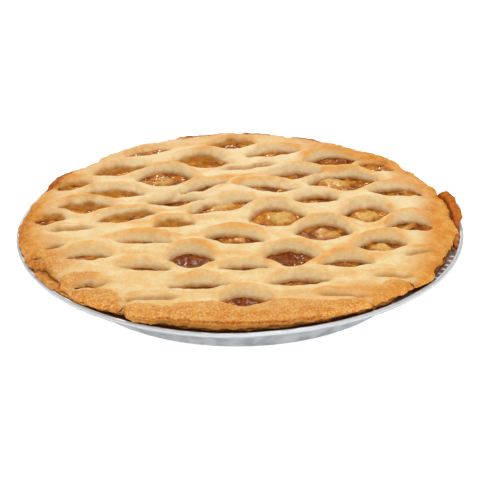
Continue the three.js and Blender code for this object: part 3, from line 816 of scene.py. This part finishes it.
# Where the rim is paler: bearing, half width and strength
PALE_RIM = ((112, 62, 0.5),)

# Where the rim is grainy with pale and dark specks: bearing, half width and strength
SPECKLED = ((262, 62, 0.45), (209, 16, 0.4), (128, 14, 0.25), (80, 20, 0.2))


def lid_masks(mesh, grid, maps):
    x, y, z = points_of(mesh).T
    normals = normals_of(mesh)
    radius, angle = np.hypot(x, y), np.arctan2(y, x)
    read = lambda name: grid.read(maps[name], x, y)
    edge = read("edge")
    patch = waves.layered(x, y, 80, 22)
    wall = (1 - smoothstep(normals[:, 2], 0.3, 0.75)) * read("wall") * smoothstep(-edge, 2, 5)
    rim = smoothstep(radius + 5 * patch, LID_RADIUS - 24, LID_RADIUS - 4)
    rim *= 1 - total(PALE_RIM, angle)
    rim = np.maximum(rim, 0.9 * read("roll")) * (1 - 0.75 * read("shade"))
    crest = read("crest") * (1 + 0.35 * patch)
    brown = total(BROWNED, angle) * smoothstep(radius + 2 * patch, LID_RADIUS - 8, LID_RADIUS - 1)
    brown += 0.9 * read("lip") * smoothstep(edge, -3.5, -1.5) * gauss(z - LIP_GROOVE - 0.6, 0.8)
    # Below the groove the edge is painted darker: its browning, with painted shade under the overhang.
    lip = read("lip") * smoothstep(edge, -2.6, -1.2)
    lip = lip * (1 - smoothstep(z, LIP_GROOVE - 0.6, LIP_GROOVE + 0.2))
    # Amber towards the foot of each cut wall: partly filling soaked up there, partly painted shade where the
    # wall meets the gel. Along the slit of a closed fold the amber is painted shade.
    foot_stain_and_shade = 1 - smoothstep(z + 0.6 * patch, FILLING_HEIGHT + 0.2, FILLING_HEIGHT + 2.6)
    foot_stain_and_shade = np.maximum(wall * foot_stain_and_shade, read("line") * smoothstep(-edge, 3, 8))
    stain = np.maximum(0.8 * foot_stain_and_shade, read("soak") * smoothstep(read("top") - z + 0.4 * patch, 0.4, 1.4))
    speckle = rim * (0.2 + total(SPECKLED, angle))
    pale = 0.6 * smoothstep(y + 10 * patch, -60, 50)
    set_masks(mesh, pale=pale, wall=wall, rim=rim, crest=crest, brown=brown, stain=stain, lip=lip,
              speckle=speckle)


def lid_material():
    look = Look("lid_pastry", Roughness=0.66, Specular_IOR_Level=0.12, Subsurface_Weight=0.12,
                Subsurface_Scale=0.002, Subsurface_Radius=(1, 0.55, 0.25))
    cream = look.mottled("#fce4ae", "#f8d08c", 7)
    cream = look.mottled(cream, "#f2c47c", 1.4, low=0.4, high=0.7, most=0.4)
    cream = look.covered(cream, ("pale", "#feeabd"))
    crest = look.mottled("#fab85a", "#f0a142", 4, low=0.3, high=0.7)
    crested = look.between(look.ragged("crest", 2.2, -0.1, 0.1), 0.05, 1, 0, 0.9)
    rim = look.mottled("#e28a28", "#efab4c", 5, low=0.3, high=0.7)
    pale = look.math("MULTIPLY", look.between(look.noise(1.1), 0.5, 0.62), look.mask("speckle"))
    singed = look.between(look.noise(1.3, 3, (1, 1, 1.4)), 0.56, 0.7)
    singed = look.math("MULTIPLY", singed, look.mask("speckle"))
    rim = look.covered(rim, (pale, "#f6d59c"), (singed, "#c06a1a"))
    brown = look.mottled("#a34e10", "#c9701f", 2, 4, 0.3, 0.7)
    browned = look.between(look.ragged("brown", 1.6, -0.2, 0.2), 0.15, 0.95)
    wall = look.mottled("#f6dfb0", "#ecca92", 3, low=0.3, high=0.7)
    # This soaked colour also serves as painted shade at the foot of the cut walls and in the slits of closed
    # folds.
    soaked = look.mottled("#c88a38", "#b06c22", 3, low=0.3, high=0.7)
    # The lip colour is browning darkened as painted shade under the edge.
    colour = look.covered(cream, (crested, crest), ("rim", rim), (browned, brown), ("lip", "#b1742e"),
                          ("wall", wall), ("stain", soaked))
    grain = look.math("MULTIPLY", look.noise(0.9, 4), look.between(look.mask("speckle"), 0, 0.6, 1, 2))
    bumps = look.relief(grain, 0.3)
    bumps = look.relief(look.noise(2.6), 0.35, under=bumps)
    return look.finish(Base_Color=colour, Normal=bumps)


def add_lid(cuts, slits):
    grid = Grid(LID_RADIUS + 5, LID_CELL)
    maps = lid_maps(grid, cuts, slits)
    mesh = lid_mesh(grid, maps)
    lid_masks(mesh, grid, maps)
    add_piece(mesh, lid_material(), "lid_pastry", "lattice_top")


# The under crust

UNDER_SIDES = 1080
crumbly = Noise(23)


def under_profile():
    room = GAP + PLEAT_DEPTH + 0.1
    wall = UNDER_CRUST_THICKNESS
    flange_top = FLANGE_HEIGHT + FOIL + GAP
    edge = UNDER_EDGE_RADIUS
    hidden = [
        [0, FOIL + GAP], [BASE_RADIUS - 4, FOIL + GAP], [BASE_RADIUS + 1.2 - room, 4.2],
        [WALL_TOP_RADIUS - 1.6 - room, FLANGE_HEIGHT - 0.6], [WALL_TOP_RADIUS + 1, flange_top],
    ]
    lip = [
        [edge - 2, flange_top + 0.1], [edge - 0.6, flange_top + 0.3], [edge, flange_top + 0.8],
        [edge + 0.1, flange_top + 1.4], [edge - 0.2, UNDER_EDGE_TOP - 0.3], [edge - 0.7, UNDER_EDGE_TOP],
        [edge - 1.3, UNDER_EDGE_TOP - 0.2],
    ]
    within = [
        *([edge - lerp(1.3, FLAKE_WIDTH, step / 4), UNDER_EDGE_TOP] for step in range(1, 5)),
        [WALL_TOP_RADIUS - 3.4 - wall, UNDER_EDGE_TOP],
        [BASE_RADIUS - 1 - wall, 6 + FOIL],
        [BASE_RADIUS - 6 - wall, FOIL + GAP + wall], [0, FOIL + GAP + wall],
    ]
    return np.vstack([hidden, rounded(lip, 2), within])


def place_under_crust(radius, height, angle):
    """The lip stands up in flakes where the lid is broken back, and its edge is ragged all round."""
    edge = UNDER_EDGE_RADIUS
    on_edge = smoothstep(radius, edge - 2.2, edge - 0.6) * smoothstep(height, 21.5, 22.6)
    flakes_out, flakes_up = total(FLAKES, angle), total(FLAKES, angle, 3)
    x, y, _ = on_circle(edge, 0, angle)
    ragged = 0.7 * crumbly.layered(x, y, height / 2, 4) + 0.4 * np.sin(13 * angle + 1)
    root = 0.4 * flakes_out
    past_lid = edge - FLAKE_WIDTH + root - lid_radius(angle) - GAP
    free = np.clip(past_lid / 0.8, 0, 1)
    share = np.clip((radius - edge + FLAKE_WIDTH) / (FLAKE_WIDTH - 1.3), 0, 1)
    at_root = (np.abs(height - UNDER_EDGE_TOP) < 0.01) & (radius > edge - FLAKE_WIDTH - 0.1)
    tip = free * smoothstep(height, 22.6, UNDER_EDGE_TOP) * share
    out = on_edge * (ragged * (radius > edge - 1.5) + flakes_out * lerp(0.45, 1, tip))
    out = np.where(at_root, np.maximum(out, root), out)
    up = np.sqrt(tip) * flakes_up * (1 + 0.15 * crumbly.layered(x, y, 9, 3))
    ledge = total(LEDGE, angle) * smoothstep(height, 22.3, 23.3) * (radius > edge - 1)
    out += 2.4 * ledge
    up += 0.7 * ledge + total(LIFTED, angle) * smoothstep(radius, WALL_TOP_RADIUS, edge - 1)
    short = lerp(3.6, 1.8, smoothstep(height, 22.9, UNDER_EDGE_TOP))
    short = lerp(lerp(short, 1.5, ledge), 0.2, tip)
    reach = TIN_RADIUS - short - total(BENT, angle)
    return on_circle(np.minimum(radius + out, reach), height + up, angle)


def under_material():
    look = Look("under_pastry", Roughness=0.7, Specular_IOR_Level=0.2)
    tan = look.mottled("#c67a2a", "#e4a452", 3, 4)
    brown = look.mottled("#b0560f", "#d87c22", 1.8, 4)
    dark = look.mottled("#84481a", "#a8642a", 1.2, 4)
    browned = look.between(look.ragged("brown", 1.4, -0.25, 0.25), 0.2, 0.8)
    colour = look.covered(tan, (browned, brown), ("side", dark))
    bumps = look.relief(look.noise(0.8, 5), 0.3)
    bumps = look.relief(look.noise(2.4), 0.7, under=bumps)
    return look.finish(Base_Color=colour, Normal=bumps)


# Where the under crust's edge is browned, and where its side is as light as its top: bearing, half width
# and strength
UNDER_BROWNED = ((6, 20, 1), (180, 16, 0.35), (345, 9, 0.8))
LIGHT_SIDE = ((218, 26, 1),)


def add_under_crust():
    mesh = turned("under_crust", under_profile(), UNDER_SIDES, place_under_crust)
    x, y, z = points_of(mesh).T
    angle = np.arctan2(y, x)
    set_masks(mesh, brown=total(UNDER_BROWNED, angle) * smoothstep(z, 22, 24.5),
              side=(1 - total(LIGHT_SIDE, angle)) * (1 - smoothstep(z, 23.9, 24.8)))
    add_piece(mesh, under_material(), "under_pastry", "bottom_crust")


# The filling and the apple pieces

FILLING_SIDES = 640
FILLING_STEP = 0.85
APPLE_STEPS = 22
syrup = Noise(37)

# Where the gel is darker, or lighter below 0: x, y, reach and strength
GEL_TONES = (
    (-25, -52, 22, 1), (27, -52, 24, 0.9), (-35, 14, 24, 0.55), (-46, 47, 20, 0.45), (56, 78, 24, 0.6),
    (88, -21, 16, 0.6), (24, -9, 20, -0.3), (72, -9, 18, -0.2), (82, 62, 18, -0.3), (-85, -8, 24, -0.35),
    (-88, 28, 26, -0.4), (-62, 72, 26, -0.4), (-20, 98, 30, -0.3), (3, -96, 18, 0.5), (-22, -78, 20, 0.4),
)


def gel_height(x, y):
    lumps = 0.7 * syrup.layered(x, y, 0, 7, 2) + 0.4 * syrup.layered(x, y, 30, 2.2, 2)
    return FILLING_HEIGHT + np.clip(lumps, -1.1, 0.5)


def filling_profile():
    wall = UNDER_CRUST_THICKNESS + GAP
    floor = FOIL + 2 * GAP + UNDER_CRUST_THICKNESS
    top_radius = WALL_TOP_RADIUS - 4.4 - wall
    below = [
        [0, floor], [BASE_RADIUS - 6.6 - wall, floor], [BASE_RADIUS - 1.6 - wall, 6.6 + FOIL],
        [top_radius, UNDER_EDGE_TOP - 0.9], [top_radius + 0.5, UNDER_EDGE_TOP + 0.4],
        [SPILL_RADIUS, UNDER_EDGE_TOP + 0.4],
    ]
    shoulder = [[SPILL_RADIUS, FILLING_HEIGHT - 1.1], [SPILL_RADIUS - 0.7, FILLING_HEIGHT - 0.4]]
    radii = np.arange(SPILL_RADIUS - 2, 0.5, -FILLING_STEP)
    surface = np.stack([radii, np.full(len(radii), float(FILLING_HEIGHT))], axis=1)
    return np.vstack([below, shoulder, surface, [[0, FILLING_HEIGHT]]])


def place_filling(radius, height, angle):
    x, y, _ = on_circle(np.minimum(radius, lid_radius(angle) - SPILL_INSIDE_LID), height, angle)
    lumpy = smoothstep(height, FILLING_HEIGHT - 0.3, FILLING_HEIGHT)
    return x, y, lerp(height, gel_height(x, y), lumpy)


def filling_material():
    look = Look("filling_gel", Roughness=0.06, Specular_IOR_Level=0.18, Subsurface_Weight=0.06,
                Subsurface_Scale=0.003, Subsurface_Radius=(1, 0.4, 0.1))
    amber = look.mottled("#c0660c", "#e09428", 4)
    dark = look.mottled("#5e2203", "#924206", 3)
    tone = look.ragged("dark", 6, -0.3, 0.3, 3, 0.35, 0.65)
    colour = look.mix(look.between(tone, 0.15, 0.85), amber, dark)
    # Tiny pale specks in the gel: partly bubbles, partly painted glints.
    colour = look.mottled(colour, "#e9bb8a", 1, 2, 0.64, 0.72, 0.65)
    bumps = look.relief(look.noise(1.7, 1), 0.4)
    return look.finish(Base_Color=colour, Normal=bumps)


def add_filling():
    mesh = turned("filling_gel", filling_profile(), FILLING_SIDES, place_filling)
    x, y, _ = points_of(mesh).T
    darker = sum(0.5 * strength * gauss(np.hypot(x - spot_x, y - spot_y), reach)
                 for spot_x, spot_y, reach, strength in GEL_TONES)
    set_masks(mesh, dark=0.5 + darker)
    add_piece(mesh, filling_material(), "filling", "filling")


def unit_ball(steps):
    """Points and faces of a ball made of a cube's six grids, with the grids' edges joined."""
    line = np.tan(np.linspace(-1, 1, steps + 1) * math.pi / 4)
    s, t = np.meshgrid(line, line, indexing="ij")
    number = np.arange((steps + 1) ** 2).reshape(steps + 1, steps + 1)
    corners = (number[:-1, :-1], number[1:, :-1], number[1:, 1:], number[:-1, 1:])
    quad = np.stack(corners, axis=-1).reshape(-1, 4)
    points, quads = [], []
    for axis in range(3):
        for side in (-1, 1):
            columns = [None] * 3
            columns[axis] = np.full(s.shape, float(side))
            columns[(axis + 1) % 3], columns[(axis + 2) % 3] = s, t
            quads.append((quad if side > 0 else quad[:, ::-1]) + len(points) * s.size)
            points.append(np.stack(columns, axis=-1).reshape(-1, 3))
    points = np.vstack(points)
    points /= np.linalg.norm(points, axis=1)[:, None]
    _, first, inverse = np.unique(np.round(points, 5), axis=0, return_index=True, return_inverse=True)
    return points[first], inverse.reshape(-1)[np.vstack(quads)]


def mesh_of_balls(name, quads, blocks):
    """One mesh of several blocks of points, each of which is a ball reshaped."""
    faces = [quads + number * len(block) for number, block in enumerate(blocks)]
    return mesh_of(name, np.vstack(blocks), np.vstack(faces))


def apple_block(cut, apple, ball, seed):
    """A block with soft corners, uneven as cooked fruit is, standing in its opening."""
    _, _, along, long, wide, rise = apple
    half = np.array([long * cut["length"] / 2, wide * cut["width"] / 2, APPLE_DEPTH / 2])
    local = signed_power(ball, APPLE_SQUARENESS) * half
    local[:, 2] *= 1 + 0.12 * ball[:, 0]
    uneven = 0.9 * syrup.layered(*(local + 40 * seed).T, 6)
    local = local + ball * uneven[:, None]
    x, y = to_sheet(cut, along * cut["length"], (UPPER_SHARE - 0.5) * cut["width"])
    x, y = to_sheet(dict(x=x, y=y, turn=cut["turn"]), local[:, 0], local[:, 1])
    return np.stack([x, y, FILLING_HEIGHT + rise - APPLE_DEPTH / 2 + local[:, 2]], axis=1)


def apple_material():
    look = Look("apple_flesh", Roughness=0.12, Subsurface_Weight=0.2, Subsurface_Scale=0.003,
                Subsurface_Radius=(1, 0.6, 0.2))
    flesh = look.mottled("#dba23e", "#eec268", 3)
    gel = look.mottled("#bd6f16", "#d8952e", 2)
    colour = look.mix(look.between(look.ragged("film", 3, -0.3, 0.35), 0.05, 0.85), flesh, gel)
    bumps = look.relief(look.noise(1.7, 2, (1, 2, 1)), 0.35)
    return look.finish(Base_Color=colour, Normal=bumps)


def add_apples(cuts):
    ball, quads = unit_ball(APPLE_STEPS)
    blocks = []
    for number, apple in enumerate(APPLES):
        cut = next(cut for cut in cuts if (cut["row"], cut["number"]) == apple[:2])
        blocks.append(apple_block(cut, apple, ball, number))
    mesh = mesh_of_balls("apple_pieces", quads, blocks)
    heights = np.vstack(blocks)[:, 2]
    set_masks(mesh, film=1 - smoothstep(heights, FILLING_HEIGHT - 0.2, FILLING_HEIGHT + 2.2))
    nodes = [f"apple_piece_{number + 1}" for number in range(len(APPLES))]
    add_piece(mesh, apple_material(), "apple", *nodes)


# Crumbs on the flange: the first and last bearing, how many, and the nearest and farthest radius
CRUMBS = ((196, 214, 26, 119.6, 121.0), (214, 262, 18, 119.4, 120.8), (262, 330, 22, 118.6, 120.6))
CRUMB_SIZE = (0.25, 0.7)
CRUMB_STEPS = 4

# Larger bits of crust on the flange: bearing, radius, height and size
CHUNKS = (
    (350.4, 118.2, 23.5, 2.5), (348, 119.2, 23.1, 1.9), (353, 119.4, 23.8, 1.8), (345.8, 118.6, 22.9, 1.1),
    (200, 120.4, 23.4, 1.2), (203.5, 120.8, 23.2, 1.0), (206.5, 120.4, 23.3, 1.5),
)
CHUNK = dict(squareness=0.7, uneven=0.45, stretch=(0.7, 1.2, 0.7))


def add_crumbs():
    draw = np.random.default_rng(71)
    ball, quads = unit_ball(CRUMB_STEPS)
    blocks = []
    for first, last, count, nearest, farthest in CRUMBS:
        for _ in range(count):
            size = draw.uniform(*CRUMB_SIZE) * draw.uniform(0.8, 1.2, 3)
            local = ball * size * (1 + 0.3 * crumbly(*(ball * 1.5 + draw.uniform(0, 30, 3)).T, 1))[:, None]
            angle = math.radians(draw.uniform(first, last))
            x, y, _ = on_circle(draw.uniform(nearest, farthest), 0, angle)
            base = FLANGE_HEIGHT + FOIL + total(LIFTED, angle)
            blocks.append(local + [x, y, base + 0.7 * size[2]])
    for bearing, radius, height, size in CHUNKS:
        uneven = crumbly.layered(*(ball * 1.2 + draw.uniform(0, 30, 3)).T, 1.4)
        local = size * signed_power(ball, CHUNK["squareness"]) * (1 + CHUNK["uneven"] * uneven)[:, None]
        x, y, _ = on_circle(radius, 0, math.radians(bearing))
        blocks.append(local * CHUNK["stretch"] + [x, y, height])
    look = Look("crumbs", Roughness=0.8, Specular_IOR_Level=0.2)
    material = look.finish(Base_Color=look.mottled("#a4591a", "#cf8334", 3))
    add_piece(mesh_of_balls("crumbs", quads, blocks), material, "under_pastry")


# The tin

MARK_STEPS = 6
MARK_SQUARENESS = 0.5
foil_waves = Noise(51)


def tin_profile():
    bead_middle = TIN_RADIUS - BEAD_RADIUS
    turns = np.radians(np.arange(-80, 175, 22))
    bead_radii = bead_middle + BEAD_RADIUS * np.cos(turns)
    bead = np.stack([bead_radii, BEAD_HEIGHT + BEAD_RADIUS * np.sin(turns)], axis=1)
    outside = [
        [0, 0], [60, 0], [BASE_RADIUS - 2.5, 0], [BASE_RADIUS + 0.6, 1.2], [BASE_RADIUS + 2, 3.4],
        [lerp(BASE_RADIUS, WALL_TOP_RADIUS, 0.4), lerp(0, FLANGE_HEIGHT, 0.42)],
        [lerp(BASE_RADIUS, WALL_TOP_RADIUS, 0.7), lerp(0, FLANGE_HEIGHT, 0.7)],
        [WALL_TOP_RADIUS - 0.6, FLANGE_HEIGHT - 1.4], [WALL_TOP_RADIUS + 1.4, FLANGE_HEIGHT - 0.2],
        [lerp(WALL_TOP_RADIUS, TIN_RADIUS, 0.5), FLANGE_HEIGHT], [TIN_RADIUS - 2.4, FLANGE_HEIGHT],
    ]
    inside = [
        [TIN_RADIUS - 2.9, FLANGE_HEIGHT + FOIL],
        [lerp(WALL_TOP_RADIUS, TIN_RADIUS, 0.5), FLANGE_HEIGHT + FOIL],
        [WALL_TOP_RADIUS + 1.2, FLANGE_HEIGHT - 0.2 + FOIL], [WALL_TOP_RADIUS - 1.2, FLANGE_HEIGHT - 1.2],
        [BASE_RADIUS + 1.4, 3.6], [BASE_RADIUS, 1.7], [BASE_RADIUS - 2.8, FOIL], [60, FOIL], [0, FOIL],
    ]
    return np.vstack([rounded(outside, 1), bead, rounded(inside, 1)])


def place_tin(radius, height, angle):
    """Soft pleats on the wall, a little uneven, and slight dents in the flange and the bead."""
    rise = (radius - BASE_RADIUS) / (WALL_TOP_RADIUS - BASE_RADIUS)
    on_wall = np.sqrt(np.clip(rise, 0, 1)) * (1 - smoothstep(rise, 0.95, 1.05))
    x, y, _ = on_circle(TIN_RADIUS, 0, angle)
    uneven = 0.75 + 0.25 * foil_waves(x, y, 0, 14)
    pleat = PLEAT_DEPTH * uneven * np.cos(PLEATS * angle + 0.5 * foil_waves(x, y, 9, 30))
    dents = 0.12 * foil_waves.layered(x, y, height, 12, 2) * smoothstep(height, 0.8, 3)
    dents = dents * (1 - smoothstep(rise, 1.3, 1.6))
    lift = 0.12 * foil_waves.layered(x, y, 30, 20, 2) * smoothstep(rise, 1.0, 1.3)
    outer = smoothstep(radius, WALL_TOP_RADIUS + 1.4, TIN_RADIUS - 3)
    inward = outer * total(BENT, angle)
    up = outer * (total(LIFTED, angle) - total(BENT, angle, 3))
    return on_circle(radius + on_wall * pleat + dents - inward, height + lift + up, angle)


def flange_marks():
    """The plain raised bars on the flange."""
    ball, quads = unit_ball(MARK_STEPS)
    half = np.array([MARKS["width"] / 2, MARKS["length"] / 2, MARKS["height"]])
    bar = signed_power(ball, MARK_SQUARENESS) * half + [MARKS["radius"] - 0.3, 0, FLANGE_HEIGHT + FOIL]
    blocks = []
    for number in range(MARKS["count"]):
        turn = math.radians(MARKS["first"] + MARKS["step"] * number)
        x, y = to_sheet(dict(x=0, y=0, turn=turn), bar[:, 0], bar[:, 1])
        blocks.append(np.stack([x, y, bar[:, 2]], axis=1))
    return mesh_of_balls("flange_marks", quads, blocks)


def foil_material():
    look = Look("foil", Metallic=0.7, Roughness=0.34)
    colour = look.mottled("#85898c", "#a8acaf", 9, stretch=(1, 1, 0.12))
    # Painted light on the foil: a lighter bead top as a highlight and a near-white flange as lit foil. The
    # brown is baked-on juice and a painted reflection of the crust.
    colour = look.covered(colour, ("edge", "#dcdee0"), ("flange", "#f4f5f6"), ("juice", "#8a4c1c"))
    roughness = look.between(look.noise(5, 3, (1, 1, 0.2)), 0.3, 0.7, 0.3, 0.42)
    roughness = look.math("ADD", roughness, look.between(look.mask("juice"), 0, 1, 0, 0.4))
    roughness = look.math("ADD", roughness, look.between(look.mask("edge"), 0, 1, 0, 0.16))
    bumps = look.relief(look.noise(6, 2, (1, 1, 0.15)), 0.12)
    return look.finish(Base_Color=colour, Roughness=roughness, Normal=bumps)


def add_tin():
    foil = foil_material()
    mesh = turned("foil_tin", tin_profile(), TIN_SIDES, place_tin)
    x, y, _ = points_of(mesh).T
    radius, angle = np.hypot(x, y), np.arctan2(y, x)
    upward = normals_of(mesh)[:, 2]
    # The bead's upper side is painted lighter than the other foil, as a painted highlight.
    edge = smoothstep(radius, TIN_RADIUS - 3.2, TIN_RADIUS - 2.6) * smoothstep(upward, -0.5, 0.3)
    inner = 1 - smoothstep(radius, TIN_RADIUS - 2.1, TIN_RADIUS - 1.5)
    # The flange's upward faces are painted near-white, as light falling on the foil.
    flange = smoothstep(radius, WALL_TOP_RADIUS + 2, WALL_TOP_RADIUS + 4) * inner
    flange = flange * smoothstep(upward, 0.2, 0.6)
    # This mask paints baked-on juice together with a brown painted reflection of the crust in the foil.
    set_masks(mesh, edge=edge, flange=flange, juice=flange * total(JUICE_AND_REFLECTION, angle))
    add_piece(mesh, foil, "foil", "pie_tin")
    marks = flange_marks()
    # The bars take the flange's near-white, painted as lit foil.
    set_masks(marks, edge=1, flange=1, juice=0)
    add_piece(marks, foil, "foil")


# Stage and light

FLOOR_SIZE = 12
FLOOR_GLOW = 0.75
WORLD_STRENGTH = 0.5

# Square lights: name, place in metres, size and watts, all aimed at one point
LIGHTS = (
    ("key", (0.35, -0.3, 1.5), 0.7, 4.6),
    ("front", (0.2, -1.3, 0.9), 0.7, 4.5),
    ("back", (-0.25, 0.95, 1.15), 0.22, 6),
)
LIGHT_AIM = Vector((0, 0, 0.02))


def add_floor():
    mesh = bpy.data.meshes.new("floor")
    half = FLOOR_SIZE / 2
    corners = [(-half, -half, 0), (half, -half, 0), (half, half, 0), (-half, half, 0)]
    mesh.from_pydata(corners, [], [(0, 1, 2, 3)])
    look = Look("floor", Roughness=0.9)
    look.finish(Base_Color=look.mottled("#e8e8e8", "#ececec", 400, 2, 0.3, 0.7),
                Emission_Color=(1, 1, 1, 1), Emission_Strength=FLOOR_GLOW)
    mesh.materials.append(look.material)
    floor = bpy.data.objects.new("floor", mesh)
    bpy.context.scene.collection.objects.link(floor)


def add_light(name, place, size, watts):
    data = bpy.data.lights.new(name, "AREA")
    data.size = size
    data.energy = watts
    light = bpy.data.objects.new(name, data)
    light.location = place
    light.rotation_mode = "QUATERNION"
    light.rotation_quaternion = (LIGHT_AIM - light.location).to_track_quat("-Z", "Y")
    bpy.context.scene.collection.objects.link(light)


def add_world():
    world = bpy.data.worlds.new("world")
    world.use_nodes = True
    background = world.node_tree.nodes["Background"]
    background.inputs["Color"].default_value = (1, 1, 1, 1)
    background.inputs["Strength"].default_value = WORLD_STRENGTH
    bpy.context.scene.world = world


cuts, slits = all_openings()
add_lid(cuts, slits)
add_under_crust()
add_filling()
add_apples(cuts)
add_crumbs()
add_tin()
add_floor()
add_world()
for light in LIGHTS:
    add_light(*light)
bpy.context.scene.view_settings.view_transform = "Standard"
